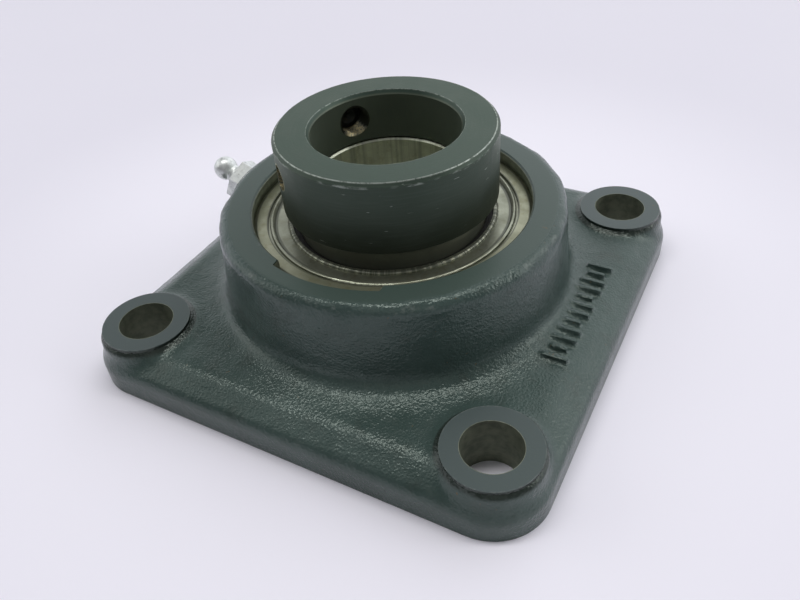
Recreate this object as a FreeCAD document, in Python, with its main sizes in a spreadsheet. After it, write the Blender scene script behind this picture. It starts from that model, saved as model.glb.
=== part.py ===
import FreeCAD, Part
import math
import os
import re
import Sketcher
from FreeCAD import Placement, Rotation, Vector

# Four-bolt flange mount bearing. Millimetres, +Z along the shaft towards the locking collar.
# The origin is on the shaft's axis in the plane of the mounting face.

doc = FreeCAD.newDocument("flange_mount_bearing")
sheet = doc.addObject("Spreadsheet::Sheet", "sizes")

SIZES = {
    # cast housing: flange
    "bolt_spacing": 92.0,
    "bolt_hole_radius": 6.6,
    "flange_side": 118.0,
    "flange_corner_radius": 13.2,
    "flange_thickness": 11.3,
    "flange_slope_run": 6.3,
    "flange_slope_drop": 3.9,
    "flange_shoulder_round": 6.0,
    "flange_lower_round": 3.5,
    "flange_opening_radius": 31.5,
    "boss_radius": 11.6,
    "boss_shoulder_height": 11.0,
    "boss_rim_height": 12.4,
    "boss_round": 1.8,
    "spot_face_radius": 10.7,
    "spot_face_height": 13.3,
    # cast housing: drum
    "drum_height": 33.4,
    "drum_rim_radius": 42.7,
    "drum_waist_radius": 43.9,
    "drum_waist_height": 14.2,
    "drum_rim_round": 2.6,
    "drum_foot_radius": 49.4,
    "drum_foot_height": 11.7,
    "drum_foot_round": 8.5,
    "drum_skirt_radius": 51.0,
    "drum_root_height": 5.0,
    "drum_inner_radius": 29.5,
    # spherical seat in the housing
    "pivot_height": 20.0,
    "seat_clearance": 0.04,
    "rear_opening_radius": 32.5,
    "rear_chamfer": 1.0,
    "mouth_radius": 34.3,
    "mouth_chamfer": 0.5,
    "slot_half_width": 13.2,
    "slot_wall_radius": 36.5,
    "slot_turn": 3.5,
    "lube_groove_low": 19.4,
    "lube_groove_high": 27.4,
    "lube_groove_radius": 37.0,
    # row of raised foundry bars on the flange
    "bar_rise": 1.4,
    "bar_width": 1.3,
    "bar_length": 6.0,
    "bar_pitch": 3.2,
    "bar_line": 48.6,
    "bar_shift": 1.5,
    # ball set
    "ball_radius": 5.556,
    "pitch_radius": 26.8,
    "race_clearance": 0.03,
    "groove_radius": 5.8,
    # outer ring
    "ring_radius": 36.0,
    "ring_half_width": 10.0,
    "ring_edge_half_width": 9.5,
    "ring_face_radius": 33.7,
    "outer_land_radius": 29.7,
    "seal_seat_radius": 31.05,
    "seal_seat_depth": 3.0,
    "ring_hole_radius": 1.0,
    "ring_hole_offset": 6.2,
    # inner ring
    "bore_radius": 17.5,
    "bore_chamfer": 0.8,
    "inner_land_radius": 24.0,
    "neck_radius": 23.2,
    "inner_rear_height": 2.0,
    "inner_land_half_width": 7.0,
    "neck_end_height": 34.3,
    "cam_radius": 21.8,
    "cam_offset": 0.9,
    "cam_end_height": 39.5,
    "cam_end_bevel": 0.4,
    # seals, heights counted from the pivot
    "seal_rim_radius": 31.0,
    "backing_low": 7.0,
    "backing_high": 7.5,
    "backing_inner_radius": 25.2,
    "lip_high": 8.8,
    "lip_inner_radius": 24.3,
    "lip_edge_radius": 23.35,
    "lip_edge_low": 8.0,
    "lip_edge_high": 8.5,
    "cover_flange_high": 9.3,
    "cover_bead_outer_radius": 30.5,
    "cover_bead_high": 10.1,
    "cover_bead_crown": 29.8,
    "cover_bead_round": 0.4,
    "cover_dish_radius": 29.2,
    "cover_dish_high": 9.2,
    "cover_rim_radius": 25.5,
    "cover_rim_round": 0.6,
    "cover_inner_radius": 25.0,
    # cage
    "cage_inner_radius": 25.0,
    "cage_outer_radius": 28.8,
    "cage_sheet": 0.7,
    "pocket_radius": 5.72,
    "pocket_outer_radius": 6.4,
    "rivet_circle": 26.9,
    "rivet_radius": 0.8,
    "rivet_clearance": 0.03,
    "rivet_head_radius": 1.25,
    "rivet_head_height": 0.5,
    # locking collar
    "collar_radius": 26.25,
    "collar_low": 34.9,
    "collar_high": 52.7,
    "collar_bore_radius": 17.6,
    "collar_outer_chamfer": 0.75,
    "collar_foot_chamfer": 0.4,
    "collar_bore_chamfer": 0.7,
    "collar_bore_chamfer_depth": 1.1,
    "recess_clearance": 0.06,
    "recess_high": 40.1,
    "screw_height": 46.0,
    "screw_azimuth": 147.0,
    "thread_minor_radius": 3.4,
    "thread_major_radius": 4.0,
    "thread_pitch": 1.25,
    "thread_start": 16.9,
    "thread_turns": 8,
    "drift_hole_radius": 3.0,
    "drift_hole_depth": 6.0,
    "drift_azimuth": -130.0,
    # set screw
    "screw_radius": 3.3,
    "screw_root_radius": 3.05,
    "screw_length": 5.0,
    "screw_turns": 6,
    "screw_tip": 21.0,
    "screw_cup_radius": 1.9,
    "screw_cup_depth": 0.7,
    "screw_socket_radius": 2.3,
    "screw_socket_depth": 3.2,
    # grease fitting, lengths counted outwards from the drum's wall
    "fitting_tilt": 25.0,
    "fitting_height": 25.3,
    "fitting_wall": 43.3,
    "fitting_spot_radius": 6.3,
    "fitting_spot": 1.6,
    "fitting_shank_radius": 2.95,
    "fitting_hole_radius": 3.0,
    "fitting_shank_depth": 5.4,
    "fitting_passage_radius": 1.6,
    "fitting_passage_depth": 11.0,
    "hex_across_flats": 10.0,
    "hex_high": 5.8,
    "fitting_neck_radius": 2.35,
    "fitting_collar_high": 7.3,
    "fitting_head_height": 10.3,
    "fitting_head_radius": 3.2,
    "fitting_tip_radius": 1.5,
    "fitting_orifice_radius": 0.8,
    "fitting_chamber_radius": 1.5,
    "fitting_chamber_low": 1.0,
    "fitting_chamber_high": 11.4,
    "check_ball_radius": 1.25,
    "check_ball_height": 11.08,
    "spring_radius": 1.05,
    "spring_wire_radius": 0.17,
    "spring_pitch": 1.1,
    "spring_low": 1.3,
    "spring_high": 10.05,
}
BALLS = 9
BOLTS = 4
BARS = 12
SHORT_BAR_EVERY = 3
THREAD_TURNS = SIZES["thread_turns"]
SCREW_TURNS = SIZES["screw_turns"]
SCREW_ROOT_SHARE = 0.25  # of one turn, where the set screw's thread is deepest
SCREW_CREST_SHARE = 0.75  # of one turn, where it is highest

# ends of a sketched line or arc, the centre of a round one, and the sketch's own axes
START, END, CENTRE = 1, 2, 3
LEVEL_AXIS, UPRIGHT_AXIS = -1, -2
SAME_HEIGHT = 1e-4

# ball grooves: the centre of each groove's arc and half of its width where it meets the land
RACE_CENTRE_OUTER = "(pitch_radius + ball_radius + race_clearance - groove_radius)"
RACE_CENTRE_INNER = "(pitch_radius - ball_radius - race_clearance + groove_radius)"
RACE_HALF_OUTER = f"sqrt(groove_radius^2 - (outer_land_radius - {RACE_CENTRE_OUTER})^2)"
RACE_HALF_INNER = f"sqrt(groove_radius^2 - ({RACE_CENTRE_INNER} - inner_land_radius)^2)"

for row, (alias, number) in enumerate(SIZES.items(), start=1):
    sheet.set(f"A{row}", alias)
    sheet.set(f"B{row}", str(number))
    sheet.setAlias(f"B{row}", alias)
doc.recompute()

nodes = []


def bound(text):
    """An expression on the sheet's cells, written with the bare names of the sizes."""
    return re.sub(r"[a-z_]+", lambda word: f"sizes.{word[0]}" if word[0] in SIZES else word[0], text)


def value(text):
    """The number that an expression gives now."""
    result = sheet.evalExpression(bound(text))
    return float(getattr(result, "Value", result))


def new_body(label):
    body = doc.addObject("PartDesign::Body", label)
    body.Label = label
    nodes.append(body)
    return body


def new_sketch(body, name, role="XY_Plane", lift=None, turn=None, shift=None):
    """A sketch on one of the body's own planes, moved along the plane's normal by lift."""
    sketch = body.newObject("Sketcher::SketchObject", name)
    plane = next(item for item in body.Origin.OriginFeatures if item.Role == role)
    sketch.AttachmentSupport = [(plane, "")]
    sketch.MapMode = "FlatFace"
    if turn:
        rotation = Rotation(Vector(0, 0, 1), value(turn))
        sketch.AttachmentOffset = Placement(Vector(), rotation)
    if lift:
        sketch.setExpression("AttachmentOffset.Base.z", bound(lift))
    if shift:
        sketch.setExpression("AttachmentOffset.Base.x", bound(shift))
    return sketch


def pin_point(sketch, geometry, end, x, y, label):
    """Ties one point of the sketch to expressions for its two coordinates."""
    for axis, text, line in (("X", x, UPRIGHT_AXIS), ("Y", y, LEVEL_AXIS)):
        if text == "0":
            sketch.addConstraint(Sketcher.Constraint("PointOnObject", geometry, end, line))
            continue
        rule = Sketcher.Constraint(f"Distance{axis}", geometry, end, value(text))
        index = sketch.addConstraint(rule)
        sketch.renameConstraint(index, f"{label}{axis}")
        sketch.setExpression(f"Constraints.{label}{axis}", bound(text))


def add_circle(sketch, x, y, radius, label):
    """A circle whose centre and radius follow the sheet."""
    centre = Vector(value(x), value(y), 0)
    shape = Part.Circle(centre, Vector(0, 0, 1), value(radius))
    index = sketch.addGeometry(shape)
    pin_point(sketch, index, CENTRE, x, y, label)
    rule = sketch.addConstraint(Sketcher.Constraint("Radius", index, value(radius)))
    sketch.renameConstraint(rule, f"{label}Radius")
    sketch.setExpression(f"Constraints.{label}Radius", bound(radius))


def arc_between(start, end, radius, side):
    """The short arc from start to end, with its centre on the left (+1) or the right (-1)."""
    chord = end - start
    middle = (start + end) * 0.5
    reach = math.sqrt(radius ** 2 - (chord.Length / 2) ** 2)
    left = Vector(-chord.y, chord.x, 0).normalize()
    centre = middle + left * (side * reach)
    first, last = (start, end) if side > 0 else (end, start)
    angles = [math.atan2(point.y - centre.y, point.x - centre.x) for point in (first, last)]
    circle = Part.Circle(centre, Vector(0, 0, 1), radius)
    return Part.ArcOfCircle(circle, angles[0], angles[1])


def add_loop(sketch, corners, label="p"):
    """A closed outline. Each corner is (x, y), or (x, y, radius, side) to leave on an arc."""
    points = [Vector(value(corner[0]), value(corner[1]), 0) for corner in corners]
    ends = []
    for number, corner in enumerate(corners):
        start, end = points[number], points[(number + 1) % len(points)]
        if len(corner) == 2:
            index = sketch.addGeometry(Part.LineSegment(start, end))
            ends.append((index, START, END))
            continue
        radius, side = corner[2], corner[3]
        index = sketch.addGeometry(arc_between(start, end, value(radius), side))
        ends.append((index, START, END) if side > 0 else (index, END, START))
    for number, (index, _, last) in enumerate(ends):
        after, first, _ = ends[(number + 1) % len(ends)]
        sketch.addConstraint(Sketcher.Constraint("Coincident", index, last, after, first))
    for number, corner in enumerate(corners):
        index, first, _ = ends[number]
        pin_point(sketch, index, first, corner[0], corner[1], f"{label}{number}")
        if len(corner) > 2:
            rule = sketch.addConstraint(Sketcher.Constraint("Radius", index, value(corner[2])))
            sketch.renameConstraint(rule, f"{label}{number}Radius")
            sketch.setExpression(f"Constraints.{label}{number}Radius", bound(corner[2]))


def spin(body, name, corners, cut=False, role="XZ_Plane", axis="V_Axis", **place):
    """A turned feature: an outline of (radius, height) corners swept round an axis of its sketch."""
    sketch = new_sketch(body, f"{name}_outline", role, **place)
    add_loop(sketch, corners)
    kind = "PartDesign::Groove" if cut else "PartDesign::Revolution"
    feature = body.newObject(kind, name)
    feature.Profile = sketch
    feature.ReferenceAxis = (sketch, [axis])
    feature.Angle = 360
    body.Tip = feature
    return feature


def pull(body, name, sketch, length, cut=False, reverse=False):
    """A pad, or a pocket, of the sketch's outline."""
    feature = body.newObject("PartDesign::Pocket" if cut else "PartDesign::Pad", name)
    feature.Profile = sketch
    feature.Type = 0
    feature.setExpression("Length", bound(length))
    feature.Reversed = reverse
    body.Tip = feature
    return feature


def repeat(body, name, feature, sketch, count):
    """The feature, repeated evenly round the shaft's axis."""
    pattern = body.newObject("PartDesign::PolarPattern", name)
    pattern.Originals = [feature]
    pattern.Axis = (sketch, ["N_Axis"])
    pattern.Angle = 360
    pattern.Occurrences = count
    body.Tip = pattern
    return pattern


def round_square(half, radius):
    """Corners of a square of the given half side with round corners, anticlockwise."""
    inner = f"({half} - {radius})"
    return [
        (f"-{inner}", f"-{half}"), (inner, f"-{half}", radius, 1),
        (half, f"-{inner}"), (half, inner, radius, 1),
        (inner, half), (f"-{inner}", half, radius, 1),
        (f"-{half}", inner), (f"-{half}", f"-{inner}", radius, 1),
    ]


def make_housing():
    """Cast flange, four bosses and the drum that holds the spherical seat."""
    body = new_body("housing")
    plan = new_sketch(body, "flange_plan")
    add_loop(plan, round_square("flange_side / 2", "flange_corner_radius"))
    add_circle(plan, "0", "0", "flange_opening_radius", "opening")
    flange = pull(body, "flange", plan, "flange_thickness")
    doc.recompute()
    opening = value("flange_opening_radius")
    slope = body.newObject("PartDesign::Chamfer", "flange_slope")
    slope.Base = (flange, edges_at(flange, value("flange_thickness"), opening))
    slope.ChamferType = "Two distances"
    slope.FlipDirection = True
    slope.setExpression("Size", bound("flange_slope_run"))
    slope.setExpression("Size2", bound("flange_slope_drop"))
    body.Tip = slope
    blend(body, "flange_shoulder", "flange_shoulder_round", "flange_thickness", opening)
    blend(body, "flange_lower_edge", "flange_lower_round", "flange_thickness - flange_slope_drop",
          opening)

    spin(body, "drum", [
        ("drum_inner_radius", "drum_root_height"),
        ("drum_skirt_radius", "drum_root_height"),
        ("drum_skirt_radius", "flange_thickness"),
        ("drum_foot_radius", "drum_foot_height", "drum_foot_round", -1),
        ("drum_waist_radius", "drum_waist_height"),
        ("drum_rim_radius", "drum_height - drum_rim_round", "drum_rim_round", 1),
        ("drum_rim_radius - drum_rim_round", "drum_height"),
        ("drum_inner_radius", "drum_height"),
    ])

    boss_outline = new_sketch(body, "boss_outline", "XZ_Plane", lift="bolt_spacing / 2",
                              shift="bolt_spacing / 2")
    add_loop(boss_outline, [
        ("bolt_hole_radius", "drum_root_height"),
        ("boss_radius", "drum_root_height"),
        ("boss_radius", "boss_shoulder_height", "boss_round", 1),
        ("spot_face_radius", "boss_rim_height"),
        ("spot_face_radius", "spot_face_height"),
        ("bolt_hole_radius", "spot_face_height"),
    ])
    boss = body.newObject("PartDesign::Revolution", "boss")
    boss.Profile = boss_outline
    boss.ReferenceAxis = (boss_outline, ["V_Axis"])
    boss.Angle = 360
    body.Tip = boss
    repeat(body, "bosses", boss, plan, BOLTS)

    marks = new_sketch(body, "bar_plan", lift="drum_root_height")
    for number in range(BARS):
        low = f"(bar_shift + bar_pitch * {number - (BARS - 1) / 2} - bar_width / 2)"
        reach = "bar_length / 3" if number % SHORT_BAR_EVERY == 1 else "bar_length / 2"
        add_loop(marks, [
            (f"bar_line - {reach}", low),
            (f"bar_line + {reach}", low),
            (f"bar_line + {reach}", f"{low} + bar_width"),
            (f"bar_line - {reach}", f"{low} + bar_width"),
        ], label=f"bar{number}")
    pull(body, "foundry_bars", marks, "flange_thickness + bar_rise - drum_root_height")

    spin(body, "seat", [
        ("drum_inner_radius - rear_chamfer", "-rear_chamfer"),
        ("rear_opening_radius + 2 * rear_chamfer", "-rear_chamfer"),
        ("rear_opening_radius", "rear_chamfer"),
        ("rear_opening_radius", "pivot_height - sqrt((ring_radius + seat_clearance)^2"
         " - rear_opening_radius^2)", "ring_radius + seat_clearance", 1),
        ("mouth_radius", "pivot_height + sqrt((ring_radius + seat_clearance)^2"
         " - mouth_radius^2)"),
        ("mouth_radius", "drum_height - mouth_chamfer"),
        ("mouth_radius + 2 * mouth_chamfer", "drum_height + mouth_chamfer"),
        ("drum_inner_radius - rear_chamfer", "drum_height + mouth_chamfer"),
    ], cut=True)
    spin(body, "lube_groove", [
        ("drum_inner_radius", "lube_groove_low"),
        ("lube_groove_radius", "lube_groove_low"),
        ("lube_groove_radius", "lube_groove_high"),
        ("drum_inner_radius", "lube_groove_high"),
    ], cut=True)

    slots = new_sketch(body, "slot_plan", lift="drum_height", turn="slot_turn")
    end = "sqrt(slot_wall_radius^2 - slot_half_width^2)"
    add_loop(slots, [
        ("-slot_half_width", f"-{end}", "slot_wall_radius", 1),
        ("slot_half_width", f"-{end}"),
        ("slot_half_width", end, "slot_wall_radius", 1),
        ("-slot_half_width", end),
    ])
    pull(body, "loading_slots", slots, "drum_height - pivot_height", cut=True)

    holes = new_sketch(body, "bolt_hole_plan")
    for number in range(BOLTS):
        across = "bolt_spacing / 2" if number % 2 else "-bolt_spacing / 2"
        along = "bolt_spacing / 2" if number > 1 else "-bolt_spacing / 2"
        add_circle(holes, across, along, "bolt_hole_radius", f"bolt{number}")
    pull(body, "bolt_holes", holes, "spot_face_height + rear_chamfer", cut=True, reverse=True)

    drill(body, "fitting_spot_face", "fitting_spot_radius", "fitting_spot", "fitting_spot_radius")
    drill(body, "fitting_hole", "fitting_hole_radius", "-fitting_shank_depth - rear_chamfer",
          "fitting_spot_radius + fitting_shank_depth")
    drill(body, "grease_passage", "fitting_passage_radius", "-fitting_passage_depth",
          "fitting_passage_depth")


def drill(body, name, radius, reach, length):
    """A round cut along the grease fitting's axis, from reach outwards."""
    cut = body.newObject("PartDesign::SubtractiveCylinder", name)
    cut.setExpression("Radius", bound(radius))
    cut.setExpression("Height", bound(length))
    aim(cut, reach)
    body.Tip = cut


def make_outer_ring():
    """Ring with a spherical outside, a ball groove inside and a seat for each seal."""
    body = new_body("outer_ring")
    seat_low = "pivot_height - ring_half_width"
    seat_high = "pivot_height + ring_half_width"
    edge = "sqrt(ring_radius^2 - ring_edge_half_width^2)"
    spin(body, "ring", [
        ("seal_seat_radius", seat_low),
        ("ring_face_radius", seat_low),
        (edge, "pivot_height - ring_edge_half_width", "ring_radius", 1),
        (edge, "pivot_height + ring_edge_half_width"),
        ("ring_face_radius", seat_high),
        ("seal_seat_radius", seat_high),
        ("seal_seat_radius", f"{seat_high} - seal_seat_depth"),
        ("outer_land_radius", f"{seat_high} - seal_seat_depth"),
        ("outer_land_radius", f"pivot_height + {RACE_HALF_OUTER}", "groove_radius", -1),
        ("outer_land_radius", f"pivot_height - {RACE_HALF_OUTER}"),
        ("outer_land_radius", f"{seat_low} + seal_seat_depth"),
        ("seal_seat_radius", f"{seat_low} + seal_seat_depth"),
    ])
    hole = body.newObject("PartDesign::SubtractiveCylinder", "lube_hole")
    hole.setExpression("Radius", bound("ring_hole_radius"))
    hole.setExpression("Height", bound("2 * ring_radius"))
    hole.Placement = Placement(Vector(), Rotation(Vector(0, 1, 0), 90))
    hole.setExpression("Placement.Base.x", bound("-ring_radius"))
    hole.setExpression("Placement.Base.z", bound("pivot_height + ring_hole_offset"))
    body.Tip = hole


def make_inner_ring():
    """Wide ring that grips the shaft, with an eccentric cam at the collar's end."""
    body = new_body("inner_ring")
    spin(body, "ring", [
        ("bore_radius + bore_chamfer", "inner_rear_height"),
        ("neck_radius - bore_chamfer", "inner_rear_height"),
        ("neck_radius", "inner_rear_height + bore_chamfer"),
        ("neck_radius", "pivot_height - inner_land_half_width"),
        ("inner_land_radius", "pivot_height - inner_land_half_width"),
        ("inner_land_radius", f"pivot_height - {RACE_HALF_INNER}", "groove_radius", -1),
        ("inner_land_radius", f"pivot_height + {RACE_HALF_INNER}"),
        ("inner_land_radius", "pivot_height + inner_land_half_width"),
        ("neck_radius", "pivot_height + inner_land_half_width"),
        ("neck_radius", "neck_end_height"),
        ("bore_radius", "neck_end_height"),
        ("bore_radius", "inner_rear_height + bore_chamfer"),
    ])
    cam_plan = new_sketch(body, "cam_plan", lift="neck_end_height")
    add_circle(cam_plan, "cam_offset", "0", "cam_radius", "cam")
    add_circle(cam_plan, "0", "0", "bore_radius", "bore")
    pull(body, "cam", cam_plan, "cam_end_height - neck_end_height")
    doc.recompute()
    soften(body, "cam_end_chamfer", "cam_end_bevel", value("cam_end_height"))


def edges_at(feature, height, beyond=0.0):
    """Names of the edges that lie level at one height, with their middle beyond a distance."""
    names = []
    for number, edge in enumerate(feature.Shape.Edges, start=1):
        box = edge.BoundBox
        level = abs(box.ZMin - height) < SAME_HEIGHT and abs(box.ZMax - height) < SAME_HEIGHT
        if level and edge.CenterOfMass.Length > beyond:
            names.append(f"Edge{number}")
    return names


def blend(body, name, radius, height, beyond):
    """Rounds the edges that lie at one height, beyond a distance from the origin."""
    doc.recompute()
    tip = body.Tip
    fillet = body.newObject("PartDesign::Fillet", name)
    fillet.Base = (tip, edges_at(tip, value(height), beyond))
    fillet.setExpression("Radius", bound(radius))
    body.Tip = fillet


def soften(body, name, size, height):
    """Chamfers every edge that lies at one height."""
    tip = body.Tip
    chamfer = body.newObject("PartDesign::Chamfer", name)
    chamfer.Base = (tip, edges_at(tip, height))
    chamfer.setExpression("Size", bound(size))
    body.Tip = chamfer


def make_ball(number):
    """One ball, at its even place on the pitch circle."""
    ball = doc.addObject("Part::Sphere", f"ball_{number}")
    ball.Label = f"ball_{number}"
    ball.setExpression("Radius", bound("ball_radius"))
    turn = f"{number - 1} * 360deg / {BALLS}"
    ball.setExpression("Placement.Base.x", bound(f"pitch_radius * cos({turn})"))
    ball.setExpression("Placement.Base.y", bound(f"pitch_radius * sin({turn})"))
    ball.setExpression("Placement.Base.z", bound("pivot_height"))
    nodes.append(ball)


def add_part(kind, name, sizes, turn=None):
    """A Part primitive or boolean whose sizes, and any place, follow the sheet."""
    obj = doc.addObject(f"Part::{kind}", name)
    if turn:
        obj.Placement = Placement(Vector(), turn)
    for path, text in sizes.items():
        obj.setExpression(path, bound(text))
    return obj


def around(radius, turn):
    """Where a piece on a circle round the shaft's axis stands."""
    return {
        "Placement.Base.x": f"{radius} * cos({turn})",
        "Placement.Base.y": f"{radius} * sin({turn})",
    }


def band(name, inner, outer, low, height):
    """A flat ring round the shaft's axis."""
    place = {"Height": height, "Placement.Base.z": low}
    whole = add_part("Cylinder", f"{name}_outer", {"Radius": outer, **place})
    middle = add_part("Cylinder", f"{name}_inner", {"Radius": inner, **place})
    ring = doc.addObject("Part::Cut", name)
    ring.Base = whole
    ring.Tool = middle
    return ring


def join(kind, name, shapes):
    """Several shapes fused, or what they share."""
    result = doc.addObject(f"Part::Multi{kind}", name)
    result.Shapes = shapes
    return result


def make_cage_half(label, side):
    """One pressed half of the cage: flat between the balls, cupped round each of them."""
    flat_low = "pivot_height" if side > 0 else "pivot_height - cage_sheet"
    cup_low = "pivot_height" if side > 0 else "pivot_height - pocket_outer_radius"
    flat = band(f"{label}_flat", "cage_inner_radius", "cage_outer_radius", flat_low, "cage_sheet")
    zone = band(f"{label}_zone", "cage_inner_radius", "cage_outer_radius", cup_low,
                "pocket_outer_radius")
    cups, hollows = [], []
    for number in range(BALLS):
        spot = around("pitch_radius", f"{number} * 360deg / {BALLS}")
        spot["Placement.Base.z"] = "pivot_height"
        sizes = {"Radius": "pocket_outer_radius", **spot}
        cups.append(add_part("Sphere", f"{label}_cup_{number}", sizes))
        sizes = {"Radius": "pocket_radius", **spot}
        hollows.append(add_part("Sphere", f"{label}_hollow_{number}", sizes))
        spot = around("rivet_circle", f"({number} + 0.5) * 360deg / {BALLS}")
        spot["Placement.Base.z"] = "pivot_height - pocket_outer_radius"
        sizes = {"Radius": "rivet_radius + rivet_clearance", "Height": "2 * pocket_outer_radius"}
        hollows.append(add_part("Cylinder", f"{label}_hole_{number}", {**sizes, **spot}))
    cupped = join("Common", f"{label}_cupped", [join("Fuse", f"{label}_cups", cups), zone])
    half = doc.addObject("Part::Cut", label)
    half.Base = join("Fuse", f"{label}_sheet", [flat, cupped])
    half.Tool = join("Fuse", f"{label}_hollows", hollows)
    half.Label = label
    nodes.append(half)


def make_rivets():
    """The rivets that hold the two halves of the cage together, each with two heads."""
    rivets = []
    for number in range(BALLS):
        spot = around("rivet_circle", f"({number} + 0.5) * 360deg / {BALLS}")
        shank = {
            "Radius": "rivet_radius",
            "Height": "2 * (cage_sheet + rivet_head_height)",
            "Placement.Base.z": "pivot_height - cage_sheet - rivet_head_height",
            **spot,
        }
        top = {
            "Radius1": "rivet_head_radius",
            "Radius2": "rivet_radius",
            "Height": "rivet_head_height",
            "Placement.Base.z": "pivot_height + cage_sheet",
            **spot,
        }
        bottom = dict(top)
        bottom["Radius1"], bottom["Radius2"] = top["Radius2"], top["Radius1"]
        bottom["Placement.Base.z"] = shank["Placement.Base.z"]
        pieces = [
            add_part("Cylinder", f"rivet_shank_{number}", shank),
            add_part("Cone", f"rivet_head_{number}", top),
            add_part("Cone", f"rivet_foot_{number}", bottom),
        ]
        rivets.append(join("Fuse", f"rivet_{number}", pieces))
    group = doc.addObject("Part::Compound", "cage_rivets")
    group.Links = rivets
    group.Label = "cage_rivets"
    nodes.append(group)


def make_seal_piece(label, side, corners):
    """A ring of the seal, its heights counted outwards from the pivot on one side."""
    body = new_body(label)
    outline = []
    for corner in corners:
        height = f"pivot_height + ({side}) * ({corner[1]})"
        arc = (corner[2], side * corner[3]) if len(corner) > 2 else ()
        outline.append((corner[0], height, *arc))
    spin(body, "ring", outline)


def make_seal(end, side):
    """A steel backing plate, a rubber lip and a pressed cover over them, at one end."""
    make_seal_piece(f"{end}_seal_backing", side, [
        ("backing_inner_radius", "backing_low"),
        ("seal_rim_radius", "backing_low"),
        ("seal_rim_radius", "backing_high"),
        ("backing_inner_radius", "backing_high"),
    ])
    make_seal_piece(f"{end}_seal_lip", side, [
        ("lip_inner_radius", "backing_high"),
        ("seal_rim_radius", "backing_high"),
        ("seal_rim_radius", "lip_high"),
        ("lip_inner_radius", "lip_high"),
        ("lip_edge_radius", "lip_edge_high"),
        ("lip_edge_radius", "lip_edge_low"),
    ])
    make_seal_piece(f"{end}_seal_cover", side, [
        ("cover_inner_radius", "lip_high"),
        ("seal_rim_radius", "lip_high"),
        ("seal_rim_radius", "cover_flange_high"),
        ("cover_bead_outer_radius", "cover_flange_high"),
        ("cover_bead_outer_radius", "cover_bead_high - cover_bead_round", "cover_bead_round", 1),
        ("cover_bead_outer_radius - cover_bead_round", "cover_bead_high"),
        ("cover_bead_crown", "cover_bead_high"),
        ("cover_dish_radius", "cover_dish_high"),
        ("cover_rim_radius + cover_rim_round", "cover_dish_high", "cover_rim_round", 1),
        ("cover_rim_radius", "cover_dish_high + cover_rim_round"),
        ("cover_inner_radius", "cover_dish_high + cover_rim_round"),
    ])


def make_locking_collar():
    """Collar with an eccentric recess over the cam, a threaded hole and a drift hole."""
    body = new_body("locking_collar")
    spin(body, "ring", [
        ("collar_bore_radius", "collar_low"),
        ("collar_radius - collar_foot_chamfer", "collar_low"),
        ("collar_radius", "collar_low + collar_foot_chamfer"),
        ("collar_radius", "collar_high - collar_outer_chamfer"),
        ("collar_radius - collar_outer_chamfer", "collar_high"),
        ("collar_bore_radius + collar_bore_chamfer", "collar_high"),
        ("collar_bore_radius", "collar_high - collar_bore_chamfer_depth"),
    ])
    recess = new_sketch(body, "recess_plan", lift="collar_low")
    add_circle(recess, "cam_offset", "0", "cam_radius + recess_clearance", "recess")
    pull(body, "recess", recess, "recess_high - collar_low", cut=True, reverse=True)

    thread = [
        ("thread_start", "0"),
        ("thread_start + thread_turns * thread_pitch", "0"),
        ("thread_start + thread_turns * thread_pitch", "thread_minor_radius"),
    ]
    for turn in reversed(range(THREAD_TURNS)):
        crest = f"thread_start + {turn} * thread_pitch"
        thread.append((f"{crest} + thread_pitch / 2", "thread_major_radius"))
        thread.append((crest, "thread_minor_radius"))
    spin(body, "screw_hole", thread, cut=True, role="XY_Plane", axis="H_Axis",
         lift="screw_height", turn="screw_azimuth")
    spin(body, "drift_hole", [
        ("collar_radius - drift_hole_depth", "0"),
        ("collar_radius + collar_outer_chamfer", "0"),
        ("collar_radius + collar_outer_chamfer", "drift_hole_radius"),
        ("collar_radius - drift_hole_depth", "drift_hole_radius"),
    ], cut=True, role="XY_Plane", axis="H_Axis", lift="screw_height", turn="drift_azimuth")


def make_set_screw():
    """Cup-point screw, its tip at the origin of its own axes and its socket facing out."""
    body = new_body("set_screw")
    outline = [("0", "screw_cup_depth"), ("screw_cup_radius", "0")]
    step = "(screw_length / screw_turns)"
    for turn in range(SCREW_TURNS):
        outline.append(("screw_root_radius", f"({turn} + {SCREW_ROOT_SHARE}) * {step}"))
        outline.append(("screw_radius", f"({turn} + {SCREW_CREST_SHARE}) * {step}"))
    outline.append(("screw_root_radius", "screw_length"))
    outline.append(("0", "screw_length"))
    spin(body, "shank", outline)
    socket = new_sketch(body, "socket_plan", lift="screw_length")
    add_hexagon(socket, "screw_socket_radius")
    pull(body, "socket", socket, "screw_socket_depth", cut=True)
    azimuth = math.radians(value("screw_azimuth"))
    outwards = Vector(math.cos(azimuth), math.sin(azimuth), 0)
    body.Placement = Placement(Vector(), Rotation(Vector(0, 0, 1), outwards))
    body.setExpression("Placement.Base.x", bound("screw_tip * cos(screw_azimuth * 1deg)"))
    body.setExpression("Placement.Base.y", bound("screw_tip * sin(screw_azimuth * 1deg)"))
    body.setExpression("Placement.Base.z", bound("screw_height"))


def add_hexagon(sketch, radius):
    """A regular hexagon with corners at the given radius."""
    corners = []
    for turn in range(0, 360, 60):
        corners.append((f"{radius} * cos({turn}deg)", f"{radius} * sin({turn}deg)"))
    corners[0] = (radius, "0")
    corners[3] = (f"-{radius}", "0")
    add_loop(sketch, corners)


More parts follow.
